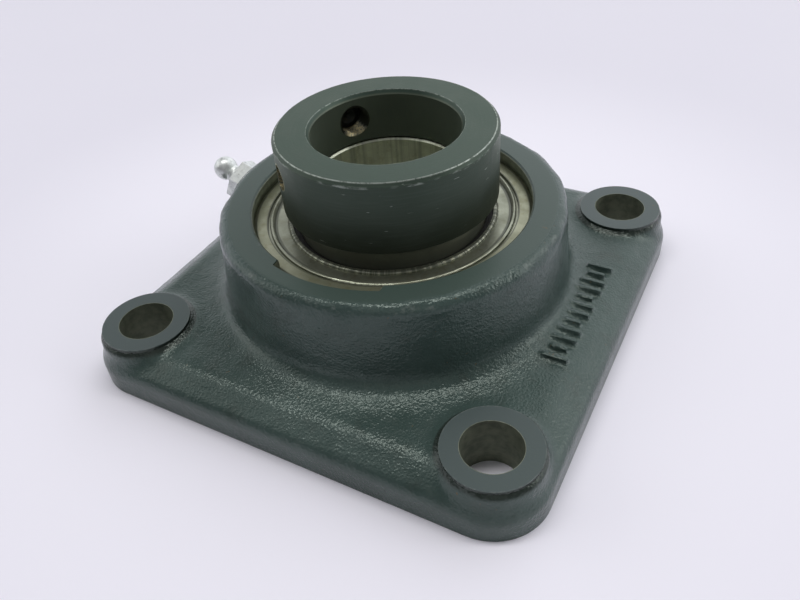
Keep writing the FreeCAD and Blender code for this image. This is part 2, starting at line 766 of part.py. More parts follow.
def make_grease_fitting():
    """Ball-headed nipple with its passage, hexagon and shank, a check ball and its spring."""
    body = new_body("grease_fitting_body")
    neck_top = "fitting_head_height - sqrt(fitting_head_radius^2 - fitting_neck_radius^2)"
    tip = "fitting_head_height + sqrt(fitting_head_radius^2 - fitting_tip_radius^2)"
    taper = "(fitting_chamber_radius - fitting_orifice_radius)"
    spin(body, "shank", [
        ("fitting_orifice_radius", "-fitting_shank_depth"),
        ("fitting_shank_radius", "-fitting_shank_depth"),
        ("fitting_shank_radius", "hex_high"),
        ("fitting_neck_radius", "fitting_collar_high"),
        ("fitting_neck_radius", neck_top, "fitting_head_radius", 1),
        ("fitting_tip_radius", tip),
        ("fitting_orifice_radius", tip),
        ("fitting_orifice_radius", f"fitting_chamber_high + {taper}"),
        ("fitting_chamber_radius", "fitting_chamber_high"),
        ("fitting_chamber_radius", "fitting_chamber_low"),
        ("fitting_orifice_radius", f"fitting_chamber_low - {taper}"),
    ])
    hexagon = new_sketch(body, "hexagon_plan", lift="fitting_spot")
    add_hexagon(hexagon, "hex_across_flats / 2 / cos(30deg)")
    add_circle(hexagon, "0", "0", "(fitting_chamber_radius + fitting_shank_radius) / 2", "core")
    pull(body, "hexagon", hexagon, "hex_high - fitting_spot")
    aim(body, "0")

    ball = add_part("Sphere", "check_ball", {"Radius": "check_ball_radius"})
    ball.Label = "check_ball"
    aim(ball, "check_ball_height")
    nodes.append(ball)

    helix = add_part("Helix", "spring_line", {
        "Radius": "spring_radius",
        "Pitch": "spring_pitch",
        "Height": "spring_high - spring_low",
    })
    wire = add_part("Circle", "spring_wire", {
        "Radius": "spring_wire_radius",
        "Placement.Base.x": "spring_radius",
    }, turn=Rotation(Vector(1, 0, 0), 90))
    doc.recompute()
    spring = doc.addObject("Part::Sweep", "check_spring")
    spring.Sections = [wire]
    spring.Spine = (helix, [f"Edge{number + 1}" for number in range(len(helix.Shape.Edges))])
    spring.Solid = True
    spring.Frenet = True
    spring.Label = "check_spring"
    aim(spring, "spring_low")
    nodes.append(spring)


def aim(obj, reach):
    """Puts an object's own +Z along the grease fitting's axis, reach outwards from the wall."""
    obj.Placement = Placement(Vector(), Rotation(Vector(0, 1, 0), value("fitting_tilt - 90")))
    along = bound(f"-fitting_wall - ({reach}) * cos(fitting_tilt * 1deg)")
    obj.setExpression("Placement.Base.x", along)
    up = bound(f"fitting_height + ({reach}) * sin(fitting_tilt * 1deg)")
    obj.setExpression("Placement.Base.z", up)


def check_model():
    """Stops unless every object has computed and every sub-part is a valid closed solid."""
    doc.recompute()
    for obj in doc.Objects:
        if "Invalid" in obj.State or "Error" in obj.State:
            raise RuntimeError(f"{obj.Name} failed: {obj.State}")
    for node in nodes:
        shape = node.Shape
        if shape.isNull() or not shape.isValid() or not shape.Solids:
            raise RuntimeError(f"{node.Label} has no valid solid")
        print(node.Label, len(shape.Solids), round(shape.Volume, 2), shape.BoundBox)


make_housing()
make_outer_ring()
make_inner_ring()
for number in range(1, BALLS + 1):
    make_ball(number)
make_cage_half("cage_front_half", 1)
make_cage_half("cage_rear_half", -1)
make_rivets()
make_seal("front", 1)
make_seal("rear", -1)
make_locking_collar()
make_set_screw()
make_grease_fitting()
check_model()
os.makedirs("parts", exist_ok=True)
for node in nodes:
    node.Shape.exportStep(os.path.join("parts", f"{node.Label}.step"))
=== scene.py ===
import math

import bmesh
import bpy
import numpy as np
from mathutils import Matrix, Vector, noise
from mathutils.bvhtree import BVHTree
from mathutils.kdtree import KDTree


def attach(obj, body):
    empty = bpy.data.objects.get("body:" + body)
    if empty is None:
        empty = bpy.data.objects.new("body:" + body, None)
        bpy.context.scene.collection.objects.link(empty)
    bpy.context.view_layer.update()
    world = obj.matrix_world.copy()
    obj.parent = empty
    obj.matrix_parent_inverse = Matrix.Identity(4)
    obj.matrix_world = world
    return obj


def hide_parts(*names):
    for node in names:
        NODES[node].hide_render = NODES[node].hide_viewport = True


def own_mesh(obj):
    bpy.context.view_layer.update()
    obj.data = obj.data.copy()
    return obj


# Flange mount bearing: looks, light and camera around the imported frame. Objects are in metres;
# the sizes and material graphs below count in millimetres.

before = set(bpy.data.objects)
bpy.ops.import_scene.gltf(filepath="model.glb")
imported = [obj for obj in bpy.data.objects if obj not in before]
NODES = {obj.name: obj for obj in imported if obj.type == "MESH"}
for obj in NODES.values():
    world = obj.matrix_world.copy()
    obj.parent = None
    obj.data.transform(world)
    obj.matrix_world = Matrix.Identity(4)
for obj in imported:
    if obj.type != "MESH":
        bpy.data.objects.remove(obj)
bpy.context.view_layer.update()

MM = 0.001
BALLS = 9

# sizes of the housing that its looks follow
BOLT_OFFSET = 46.0
BOLT_RADIUS = 6.6
SPOT_RADIUS = 10.7
SPOT_HEIGHT = 13.3
SEAT_REACH = 37.1  # the furthest that the bare seat and its groove reach from the axis
DRUM_HEIGHT = 33.4
DRUM_FLAT_RADIUS = 40.1  # where the drum's top starts to round over
DRUM_RIM_RADIUS = 42.7
FLANGE_HALF = 59.0
FLANGE_TOP = 11.3
BAR_LINE = 48.6  # the middle of the row of foundry bars, across the flange
BAR_MIDDLE = 1.5  # and along it
BAR_REACH = 3.0  # half of a bar's length
BAR_ROW = 18.3  # half of the row's length
FITTING_WALL = Vector((-43.3, 0.0, 25.3))
FITTING_TILT = math.radians(25.0)
FITTING_SPOT_RADIUS = 6.3

# sizes of the insert and the collar
NECK_RADIUS = 20.0  # between the inner ring's bore and its outside
COVER_RIM_RADIUS = 25.6
COVER_BEAD_FOOT = 29.1
RING_INNER_EDGE = 31.1
RING_OUTER_EDGE = 33.9
COLLAR_RADIUS = 26.25
COLLAR_TOP = 52.7
COLLAR_CHAMFER = 0.75
COLLAR_BORE = 17.6
COLLAR_BORE_CHAMFER = 0.7
COLLAR_LOW = 34.9
SCREW_HEIGHT = 46.0
SCREW_AZIMUTH = math.radians(147.0)
SCREW_HOLE_RADIUS = 4.0
DRIFT_AZIMUTH = math.radians(-130.0)
DRIFT_RADIUS = 3.0


def smooth_step(value, low, high):
    """0 below low, 1 above high, smooth in between; low may be the larger."""
    share = np.clip((value - low) / (high - low), 0.0, 1.0)
    return share * share * (3.0 - 2.0 * share)


# ---------------------------------------------------------------- material graphs


class Look:
    """One material's node graph. Places and lengths inside it are millimetres."""

    def __init__(self, name):
        self.material = bpy.data.materials.new(name)
        self.material.use_nodes = True
        self.tree = self.material.node_tree
        self.tree.nodes.clear()
        output = self.node("ShaderNodeOutputMaterial")
        self.shader = self.node("ShaderNodeBsdfPrincipled")
        self.tree.links.new(self.shader.outputs[0], output.inputs["Surface"])
        coordinates = self.node("ShaderNodeTexCoord").outputs["Object"]
        self.place = self.vector("SCALE", coordinates, scale=1 / MM)
        split = self.node("ShaderNodeSeparateXYZ")
        self.put(split.inputs[0], self.place)
        self.x, self.y, self.z = split.outputs
        across = self.math("MULTIPLY", self.x, self.x)
        self.radius = self.math("SQRT", self.math("MULTIPLY_ADD", self.y, self.y, across))
        self.azimuth = self.math("ARCTAN2", self.y, self.x)

    def node(self, kind, **settings):
        made = self.tree.nodes.new(kind)
        for key, setting in settings.items():
            setattr(made, key, setting)
        return made

    def put(self, socket, value):
        if isinstance(value, bpy.types.NodeSocket):
            self.tree.links.new(value, socket)
        else:
            socket.default_value = value

    def math(self, operation, *values, clamp=False):
        made = self.node("ShaderNodeMath", operation=operation, use_clamp=clamp)
        for socket, value in zip(made.inputs, values):
            self.put(socket, value)
        return made.outputs[0]

    def vector(self, operation, *values, scale=None):
        made = self.node("ShaderNodeVectorMath", operation=operation)
        for socket, value in zip(made.inputs, values):
            self.put(socket, value)
        if scale is not None:
            made.inputs["Scale"].default_value = scale
        return made.outputs["Value" if operation in ("LENGTH", "DISTANCE") else "Vector"]

    def join(self, x, y, z):
        made = self.node("ShaderNodeCombineXYZ")
        for socket, value in zip(made.inputs, (x, y, z)):
            self.put(socket, value)
        return made.outputs[0]

    def step(self, value, low, high):
        """0 at low and 1 at high, smooth in between."""
        made = self.node("ShaderNodeMapRange", interpolation_type="SMOOTHSTEP")
        for socket, number in zip(made.inputs, (value, low, high, 0.0, 1.0)):
            self.put(socket, number)
        return made.outputs[0]

    def near(self, value, centre, half, soft):
        """1 within half of centre, falling to 0 over soft."""
        gap = self.math("ABSOLUTE", self.math("SUBTRACT", value, centre))
        return self.math("SUBTRACT", 1.0, self.step(gap, half, half + soft))

    def noise(self, size, detail=2.0, rough=0.5, at=None, bend=0.0, colour=False):
        """Smooth noise from about 0 to 1, its blobs about size millimetres wide."""
        made = self.node("ShaderNodeTexNoise")
        self.put(made.inputs["Vector"], at if at is not None else self.place)
        made.inputs["Scale"].default_value = 1.0 / size
        made.inputs["Detail"].default_value = detail
        made.inputs["Roughness"].default_value = rough
        made.inputs["Distortion"].default_value = bend
        return made.outputs["Color" if colour else 0]

    def pits(self, size, at=None):
        """Distance from the nearest of many scattered points, in cells of the given size."""
        made = self.node("ShaderNodeTexVoronoi")
        self.put(made.inputs["Vector"], at if at is not None else self.place)
        made.inputs["Scale"].default_value = 1.0 / size
        return made.outputs["Distance"]

    def times(self, *values):
        result = values[0]
        for value in values[1:]:
            result = self.math("MULTIPLY", result, value)
        return result

    def most(self, *values):
        result = values[0]
        for value in values[1:]:
            result = self.math("MAXIMUM", result, value)
        return result

    def inverse(self, value):
        return self.math("SUBTRACT", 1.0, value)

    def mix(self, share, first, second):
        """A colour or number between first and second."""
        colour = any(
            isinstance(value, tuple) or getattr(value, "type", "") == "RGBA"
            for value in (first, second)
        )
        made = self.node("ShaderNodeMix", data_type="RGBA" if colour else "FLOAT")
        pick = [socket for socket in made.inputs if socket.enabled]
        for socket, value in zip(pick, (share, first, second)):
            if isinstance(value, tuple):
                value = (*value, 1.0)
            self.put(socket, value)
        return next(socket for socket in made.outputs if socket.enabled)

    def bump(self, height, depth, under=None):
        """A normal for a relief of the given depth in millimetres."""
        made = self.node("ShaderNodeBump")
        made.inputs["Distance"].default_value = depth * MM
        self.put(made.inputs["Height"], height)
        if under is not None:
            self.put(made.inputs["Normal"], under)
        return made.outputs[0]

    def finish(self, **values):
        """Sets the shader's inputs, named with underscores for spaces."""
        for key, value in values.items():
            if isinstance(value, tuple):
                value = (*value, 1.0)
            self.put(self.shader.inputs[key.replace("_", " ")], value)
        return self.material

    def bolt_distance(self):
        """Distance from the nearest bolt hole's axis."""
        gaps = []
        for value in (self.x, self.y):
            gaps.append(self.math("SUBTRACT", self.math("ABSOLUTE", value), BOLT_OFFSET))
        return self.vector("LENGTH", self.join(gaps[0], gaps[1], 0.0))

    def hole_distance(self, azimuth, height):
        """Distance from a radial hole's axis, on the axis's own side of the shaft."""
        along = self.math(
            "ADD",
            self.math("MULTIPLY", self.x, math.cos(azimuth)),
            self.math("MULTIPLY", self.y, math.sin(azimuth)),
        )
        across = self.math(
            "SUBTRACT",
            self.math("MULTIPLY", self.y, math.cos(azimuth)),
            self.math("MULTIPLY", self.x, math.sin(azimuth)),
        )
        up = self.math("SUBTRACT", self.z, height)
        gap = self.vector("LENGTH", self.join(across, up, 0.0))
        return self.math("ADD", gap, self.times(self.math("LESS_THAN", along, 0.0), 100.0))


def painted_casting():
    """Dark grey-green paint over sand-cast iron, with raw iron in the bores and the seat."""
    look = Look("painted_casting")
    bolt = look.bolt_distance()
    in_hole = look.math("LESS_THAN", bolt, BOLT_RADIUS + 0.1)
    in_seat = look.times(
        look.math("LESS_THAN", look.radius, SEAT_REACH),
        look.math("LESS_THAN", look.z, DRUM_HEIGHT - 0.35),
    )
    under = look.math("LESS_THAN", look.z, 0.03)
    raw = look.most(in_hole, in_seat, under)

    spot = look.times(
        look.inverse(look.step(bolt, SPOT_RADIUS - 0.1, SPOT_RADIUS + 0.15)),
        look.step(look.z, SPOT_HEIGHT - 0.4, SPOT_HEIGHT - 0.1),
    )
    crown = look.times(
        look.inverse(look.step(look.radius, DRUM_FLAT_RADIUS - 0.5, DRUM_FLAT_RADIUS + 0.8)),
        look.step(look.z, DRUM_HEIGHT - 0.5, DRUM_HEIGHT - 0.1),
    )
    faced = look.most(spot, crown)
    rough_skin = look.inverse(faced)

    tone = look.noise(16.0, 3.0)
    paint = look.mix(look.step(tone, 0.3, 0.7), (0.036, 0.058, 0.051), (0.047, 0.073, 0.065))
    dust = look.times(look.step(look.noise(3.0, 4.0, 0.65), 0.50, 0.8), 0.30)
    paint = look.mix(dust, paint, (0.085, 0.104, 0.094))
    paint = look.mix(spot, paint, (0.055, 0.072, 0.071))
    paint = look.mix(crown, paint, (0.044, 0.067, 0.056))
    grime = look.step(look.noise(7.0, 5.0, 0.6), 0.52, 0.75)
    paint = look.mix(look.times(grime, rough_skin, 0.4), paint, (0.026, 0.034, 0.027))

    rim_gap = look.vector("LENGTH", look.join(
        look.math("SUBTRACT", look.radius, DRUM_RIM_RADIUS - 0.7),
        look.math("SUBTRACT", look.z, DRUM_HEIGHT - 0.7), 0.0))
    rim = look.inverse(look.step(rim_gap, 0.3, 1.3))
    rub = look.step(look.noise(2.4, 5.0, 0.7), 0.50, 0.66)
    worn_rim = look.times(rim, rub, 0.4)
    lip = look.times(
        look.near(bolt, SPOT_RADIUS, 0.06, 0.22),
        look.step(look.z, SPOT_HEIGHT - 0.3, SPOT_HEIGHT - 0.05),
        look.step(look.noise(1.5, 4.0, 0.7), 0.42, 0.6),
    )
    paint = look.mix(look.most(worn_rim, look.times(lip, 0.4)), paint, (0.17, 0.19, 0.175))
    # painted shade: a dark ring in the groove round each spot face
    ditch_shade = look.times(
        look.near(bolt, SPOT_RADIUS + 0.4, 0.6, 0.5),
        look.inverse(look.step(look.z, SPOT_HEIGHT - 0.35, SPOT_HEIGHT - 0.15)),
        look.step(look.z, FLANGE_TOP - 0.5, FLANGE_TOP + 0.7),
    )
    paint = look.mix(look.times(ditch_shade, 0.8), paint, (0.014, 0.017, 0.013))
    chips = look.times(look.step(look.noise(1.7, 3.0, 0.6), 0.715, 0.74), 0.7)
    paint = look.mix(chips, paint, (0.105, 0.072, 0.032))

    rings = look.noise(0.8, 2.0, 0.5, look.join(look.times(bolt, 0.2), look.z, 0.0))
    cloud = look.step(look.noise(2.2, 4.0, 0.6), 0.35, 0.7)
    iron = look.mix(cloud, (0.205, 0.222, 0.165), (0.132, 0.146, 0.110))
    iron = look.mix(look.times(look.step(rings, 0.45, 0.7), 0.4), iron, (0.24, 0.24, 0.18))

    stir = look.vector("SCALE", look.noise(0.8, 2.0, colour=True), scale=0.8)
    grain = look.pits(0.60, look.vector("ADD", look.place, stir))
    lumps = look.noise(2.6, 3.0, 0.55)
    patch = look.step(look.noise(20.0, 2.0), 0.34, 0.62)
    cast = look.times(rough_skin, look.inverse(raw))
    skin = look.bump(lumps, 0.06)
    look.put(skin.node.inputs["Strength"], look.times(cast, 0.8))
    skin = look.bump(grain, 0.09, skin)
    look.put(skin.node.inputs["Strength"], look.times(cast, look.mix(patch, 0.75, 1.0)))
    fine = look.bump(look.noise(0.5, 3.0, 0.6), 0.022, skin)
    turned = look.bump(rings, 0.03, fine)
    look.put(turned.node.inputs["Strength"], raw)

    gloss = look.mix(look.step(look.noise(5.0, 3.0), 0.3, 0.7), 0.19, 0.25)
    gloss = look.mix(faced, gloss, 0.36)
    return look.finish(
        Base_Color=look.mix(raw, paint, iron),
        Metallic=look.times(raw, 0.55),
        Roughness=look.mix(raw, gloss, 0.52),
        Specular_Tint=(0.87, 1.0, 0.91),
        Normal=turned,
    )


def black_collar():
    """Black-oxide turned steel with edges rubbed bright, raw metal round the drift hole, painted
    shade low on the side and in the screw hole, and a painted glint on the screw hole's lower
    threads.
    """
    look = Look("black_oxide_collar")
    tone = look.noise(9.0, 4.0, 0.6)
    base = look.mix(look.step(tone, 0.3, 0.7), (0.034, 0.058, 0.044), (0.043, 0.070, 0.055))
    side = look.step(look.radius, COLLAR_RADIUS - 1.3, COLLAR_RADIUS - 0.9)
    low = look.times(side, look.inverse(look.step(look.z, COLLAR_LOW, COLLAR_TOP - 2.0)))
    # the side is a little darker than the top, and painted shade darkens it more towards its bottom
    # edge
    base = look.mix(look.times(side, 0.4), base, (0.026, 0.034, 0.024))
    base = look.mix(look.times(low, 0.7), base, (0.022, 0.025, 0.015))
    swirl = look.join(look.times(look.azimuth, 1.2), look.radius, look.z)
    lines = look.noise(0.30, 2.0, 0.5, swirl)
    base = look.mix(look.times(look.step(lines, 0.45, 0.75), 0.14), base, (0.08, 0.10, 0.088))

    broken = look.noise(1.6, 5.0, 0.75)
    flecks = look.noise(0.55, 4.0, 0.7)
    around = look.join(look.times(look.azimuth, COLLAR_RADIUS * 0.22), look.times(look.z, 1.8), 3.0)
    stretched = look.join(look.times(look.azimuth, COLLAR_RADIUS * 0.35), look.z, 7.0)
    top_line = look.times(
        look.near(look.radius, COLLAR_RADIUS - COLLAR_CHAMFER, 0.05, 0.16),
        look.step(look.z, COLLAR_TOP - 0.4, COLLAR_TOP - 0.2),
        look.step(broken, 0.36, 0.55),
    )
    lower_line = look.times(
        side,
        look.near(look.z, COLLAR_TOP - COLLAR_CHAMFER - 0.15, 0.08, 0.34),
        look.step(look.noise(0.9, 3.0, 0.6, stretched), 0.46, 0.62),
        look.step(look.noise(7.0, 2.0, 0.5), 0.38, 0.56),
        0.6,
    )
    bore_line = look.times(
        look.near(look.radius, COLLAR_BORE + COLLAR_BORE_CHAMFER, 0.03, 0.12),
        look.step(look.z, COLLAR_TOP - 1.0, COLLAR_TOP - 0.6),
        look.step(broken, 0.36, 0.60),
        0.55,
    )
    nicks = look.times(side, look.step(look.noise(1.1, 2.0, 0.6, around), 0.715, 0.75), 0.8)
    screw = look.hole_distance(SCREW_AZIMUTH, SCREW_HEIGHT)
    drift = look.hole_distance(DRIFT_AZIMUTH, SCREW_HEIGHT)
    in_screw = look.inverse(look.step(screw, SCREW_HOLE_RADIUS + 0.02, SCREW_HOLE_RADIUS + 0.12))
    # painted glint: brass-coloured flecks on the lower threads of the screw hole, where light falls
    # from above
    painted_thread_glint = look.times(
        in_screw,
        look.inverse(look.step(look.z, SCREW_HEIGHT - 3.0, SCREW_HEIGHT - 2.0)),
        look.step(flecks, 0.30, 0.55),
    )
    drift_edge = look.near(drift, DRIFT_RADIUS, 0.12, 0.3)
    # brass colour on the painted thread glint and on the drift hole's raw machined edge
    thread_glint_and_raw_edge = look.most(painted_thread_glint, look.times(drift_edge, look.step(flecks, 0.35, 0.55)))
    in_bore = look.inverse(look.step(look.radius, COLLAR_BORE + 0.1, COLLAR_BORE + 0.3))
    base = look.mix(in_bore, base, (0.085, 0.105, 0.078))
    # painted shade: the inside of the screw hole is coloured almost black
    base = look.mix(in_screw, base, (0.016, 0.017, 0.012))
    bare = look.most(top_line, lower_line, bore_line, nicks, thread_glint_and_raw_edge)
    metal = look.mix(thread_glint_and_raw_edge, (0.36, 0.40, 0.36), (0.42, 0.36, 0.20))

    turned = look.bump(lines, 0.010)
    worn = look.bump(flecks, 0.03, turned)
    return look.finish(
        Base_Color=look.mix(bare, base, metal),
        Metallic=look.mix(bare, 0.35, 0.9),
        Roughness=look.mix(bare, look.mix(look.step(tone, 0.3, 0.7), 0.36, 0.48), 0.34),
        Specular_Tint=(0.92, 1.0, 0.84),
        Normal=worn,
    )


# light and dark colour, roughness and stain of each turned steel
RING_STEEL = ((0.40, 0.41, 0.29), (0.27, 0.28, 0.19), 0.30, (0.23, 0.22, 0.11))
BORE_STEEL = ((0.70, 0.74, 0.57), (0.53, 0.56, 0.43), 0.30, (0.30, 0.29, 0.18))
COVER_STEEL = ((0.41, 0.43, 0.33), (0.28, 0.295, 0.22), 0.28, (0.17, 0.165, 0.095))
CAGE_STEEL = ((0.42, 0.41, 0.37), (0.30, 0.30, 0.27), 0.36, (0.22, 0.19, 0.12))
SCREW_STEEL = ((0.06, 0.065, 0.06), (0.035, 0.038, 0.035), 0.40, (0.10, 0.085, 0.05))


def turned_steel(name, light, dark, rough, stain, lathe=0.24, depth=0.008, oil_and_shade_share=None):
    """Bare steel with fine turning lines about the shaft's axis and a thin film of stain.

    The function given last gives, from the look, the share of each place under a dark film: oily
    dirt in some places, painted shade in others.
    """
    look = Look(name)
    across = look.join(look.times(look.azimuth, 0.8), look.radius, look.z)
    lines = look.noise(lathe, 2.0, 0.5, across)
    cloud = look.noise(6.0, 4.0, 0.6)
    base = look.mix(look.step(cloud, 0.3, 0.7), light, dark)
    film = look.times(look.step(look.noise(2.6, 5.0, 0.65), 0.46, 0.74), 0.55)
    base = look.mix(film, base, stain)
    specks = look.inverse(look.step(look.pits(2.2), 0.05, 0.09))
    base = look.mix(look.times(specks, 0.5), base, (0.10, 0.09, 0.06))
    base = look.mix(look.times(look.step(lines, 0.45, 0.7), 0.25), base, dark)
    metallic = 0.85
    roughness = look.mix(look.step(cloud, 0.3, 0.7), rough, rough + 0.12)
    if oil_and_shade_share:
        # the dark film: oily dirt in some places, painted shade in others
        oil_and_shade = oil_and_shade_share(look)
        thick = look.step(cloud, 0.4, 0.6)
        base = look.mix(oil_and_shade, base, look.mix(thick, (0.074, 0.085, 0.060), (0.088, 0.094, 0.066)))
        metallic = look.mix(oil_and_shade, metallic, 0.2)
        roughness = look.mix(oil_and_shade, roughness, 0.34)
    return look.finish(
        Base_Color=base,
        Metallic=metallic,
        Roughness=roughness,
        Normal=look.bump(lines, depth),
    )


def neck_shade_and_bore_streaks(look):
    """Painted shade over the inner ring's outside, under the collar, and oily streaks along its
    bore.
    """
    turns = look.join(look.times(look.azimuth, 7.0), 0.0, 0.0)
    streaks = look.step(look.noise(1.0, 4.0, 0.7, turns), 0.44, 0.64)
    outside = look.step(look.radius, NECK_RADIUS - 0.5, NECK_RADIUS + 0.5)
    # painted shade over nearly all of the neck's outside; the streaks in the bore are oily dirt
    return look.most(look.times(outside, 0.92), look.times(streaks, 0.45))


def cover_shade(look):
    """Painted shade along the foot of the cover's bead, and round its inner rim under the collar,
    broken by short gaps.
    """
    # painted shade in the groove at the foot of the bead
    groove = look.times(look.near(look.radius, COVER_BEAD_FOOT, 0.25, 0.35), 0.8)
    turns = look.join(look.times(look.azimuth, 22.0), 0.0, 0.0)
    gaps = look.inverse(look.step(look.noise(1.0, 3.0, 0.6, turns), 0.46, 0.56))
    # painted shade round the inner rim, under the collar, broken by short gaps
    rim = look.times(look.near(look.radius, COVER_RIM_RADIUS, 0.5, 0.25), gaps, 0.85)
    return look.most(groove, rim)


def ring_edge_lines(look):
    """A dark line at each edge of the outer ring's face."""
    inner = look.near(look.radius, RING_INNER_EDGE, 0.12, 0.15)
    outer = look.near(look.radius, RING_OUTER_EDGE, 0.2, 0.3)
    return look.times(look.most(inner, outer), 0.8)


def rubber():
    """Moulded nitrile rubber, matt with a fine grain."""
    look = Look("nitrile_rubber")
    cloud = look.noise(3.0, 4.0, 0.6)
    base = look.mix(look.step(cloud, 0.35, 0.7), (0.016, 0.016, 0.015), (0.032, 0.031, 0.028))
    return look.finish(
        Base_Color=base,
        Roughness=look.mix(cloud, 0.5, 0.8),
        Normal=look.bump(look.noise(0.3, 3.0), 0.02),
    )


def zinc():
    """Bright zinc plate, faintly clouded, with tool marks and grey dirt in it."""
    look = Look("zinc_plate")
    cloud = look.noise(1.6, 4.0, 0.6)
    base = look.mix(look.step(cloud, 0.3, 0.7), (0.80, 0.83, 0.80), (0.62, 0.65, 0.63))
    dirt = look.step(look.noise(1.1, 5.0, 0.7), 0.52, 0.72)
    base = look.mix(look.times(dirt, 0.6), base, (0.13, 0.13, 0.11))
    return look.finish(
        Base_Color=base,
        Metallic=0.8,
        Roughness=look.mix(look.step(cloud, 0.3, 0.7), 0.36, 0.50),
        Normal=look.bump(look.noise(0.25, 3.0), 0.015),
    )


def polished_balls():
    """Polished ball steel under a thin brown film of grease."""
    look = Look("polished_ball_steel")
    film = look.step(look.noise(3.5, 4.0, 0.6), 0.4, 0.7)
    base = look.mix(look.times(film, 0.5), (0.68, 0.68, 0.66), (0.40, 0.34, 0.22))
    return look.finish(
        Base_Color=base,
        Metallic=1.0,
        Roughness=look.mix(film, 0.08, 0.25),
        Normal=look.bump(look.noise(0.4, 2.0), 0.002),
    )


def wire():
    """Drawn spring wire with fine lines along it."""
    look = Look("drawn_spring_wire")
    lines = look.noise(0.12, 3.0, 0.6)
    base = look.mix(look.step(lines, 0.3, 0.7), (0.42, 0.42, 0.40), (0.26, 0.26, 0.24))
    return look.finish(
        Base_Color=base,
        Metallic=0.9,
        Roughness=look.mix(lines, 0.28, 0.45),
        Normal=look.bump(lines, 0.006),
    )


def dress(material, *names):
    """Gives CAD nodes their material."""
    for name in names:
        data = NODES[name].data
        data.materials.clear()
        data.materials.append(material)


# ---------------------------------------------------------------- the cast housing

CASTING_VOXEL = 0.52  # mm between the casting's mesh points
SNAP_REACH = 0.30  # mm within which a point belongs to a machined edge
EDGE_STEP = 0.06  # mm between samples along a machined edge
MACHINED_EDGE = math.radians(25.0)  # the least angle of a machined edge
BLEND_ANGLE = math.radians(12.0)  # the least angle of an inside corner that gets a blend
SHARP_EDGE = math.radians(38.0)  # the least angle that is shaded as an edge
BLEND_ROUNDS = 46  # of smoothing, in the inside corners
SKIN_ROUNDS = 3  # of smoothing, over all of the cast skin
RELIEF = ((14.0, 0.09), (4.4, 0.05), (2.1, 0.04))  # wave and height of each layer, mm
LAYER_OFFSET = Vector((31.7, 17.3, 5.9))  # keeps the layers from repeating one another
RIM_WAVE, RIM_HEIGHT = 6.0, 0.30  # of the drum's rim
WELD = 0.002  # mm within which two points of the CAD mesh are one


def fitting_distance(points):
    """Distance from the grease fitting's axis, in millimetres."""
    axis = np.array([-math.cos(FITTING_TILT), 0.0, math.sin(FITTING_TILT)])
    gap = points - np.array(FITTING_WALL)
    return np.linalg.norm(gap - np.outer(gap @ axis, axis), axis=1) + 100.0 * (points[:, 0] > 0)


def cast_share(points):
    """1 where the housing keeps its cast skin, 0 where it is machined."""
    radius = np.hypot(points[:, 0], points[:, 1])
    bolt = np.hypot(np.abs(points[:, 0]) - BOLT_OFFSET, np.abs(points[:, 1]) - BOLT_OFFSET)
    share = smooth_step(bolt, SPOT_RADIUS + 0.1, SPOT_RADIUS + 1.1)
    share *= smooth_step(radius, DRUM_FLAT_RADIUS - 0.1, DRUM_RIM_RADIUS - 0.3)
    share *= smooth_step(points[:, 2], 0.1, 1.2)
    fitting = fitting_distance(points)
    share *= smooth_step(fitting, FITTING_SPOT_RADIUS + 0.1, FITTING_SPOT_RADIUS + 0.9)
    return share


def bar_share(points):
    """1 on and round the row of raised foundry bars."""
    share = smooth_step(np.abs(points[:, 0] - BAR_LINE), BAR_REACH + 1.2, BAR_REACH + 0.5)
    share *= smooth_step(np.abs(points[:, 1] - BAR_MIDDLE), BAR_ROW + 1.2, BAR_ROW + 0.5)
    return share * (points[:, 2] > FLANGE_TOP - 0.5)


def rim_share(points):
    """1 on the drum's rounded upper edge."""
    radius = np.hypot(points[:, 0], points[:, 1])
    gap = np.hypot(radius - DRUM_RIM_RADIUS + 0.5, points[:, 2] - DRUM_HEIGHT + 1.3)
    return smooth_step(gap, 2.6, 1.0)


def relax(points, links, share, rounds):
    """Moves points towards their neighbours' middle, by share, so that creases become blends."""
    first, second = links.T
    count = np.bincount(links.ravel(), minlength=len(points))[:, None]
    for _ in range(rounds):
        total = np.zeros_like(points)
        for axis in range(3):
            total[:, axis] = (
                np.bincount(first, points[second, axis], len(points))
                + np.bincount(second, points[first, axis], len(points))
            )
        points = points + 0.5 * share[:, None] * (total / count - points)
    return points


def edge_samples(shape, chosen):
    """Points along the chosen edges of a bmesh in millimetres, close together."""
    found = []
    for edge in shape.edges:
        if len(edge.link_faces) != 2 or not chosen(edge):
            continue
        start, end = (vertex.co for vertex in edge.verts)
        steps = max(1, int((end - start).length / EDGE_STEP))
        found.extend(start.lerp(end, step / steps) for step in range(steps + 1))
    tree = KDTree(len(found))
    for index, point in enumerate(found):
        tree.insert(point, index)
    tree.balance()
    return tree


def is_machined(edge):
    """True for a sharp edge that machining leaves."""
    middle = np.array([(edge.verts[0].co + edge.verts[1].co) / 2])
    return edge.calc_face_angle(0.0) > MACHINED_EDGE and cast_share(middle)[0] < 0.02


def is_cast_hollow(edge):
    """True for an inside corner between two cast surfaces."""
    middle = np.array([(edge.verts[0].co + edge.verts[1].co) / 2])
    return edge.calc_face_angle_signed(0.0) < -BLEND_ANGLE and cast_share(middle)[0] > 0.3


def relief(points):
    """Height of the casting's skin over each point, in millimetres."""
    heights = np.zeros(len(points))
    for number, (wave, height) in enumerate(RELIEF):
        offset = LAYER_OFFSET * number
        values = [noise.noise(Vector(point) / wave + offset) for point in points]
        heights += height * np.array(values)
    rim = rim_share(points)
    for index in np.flatnonzero(rim):
        heights[index] += RIM_HEIGHT * rim[index] * noise.noise(Vector(points[index]) / RIM_WAVE)
    return heights


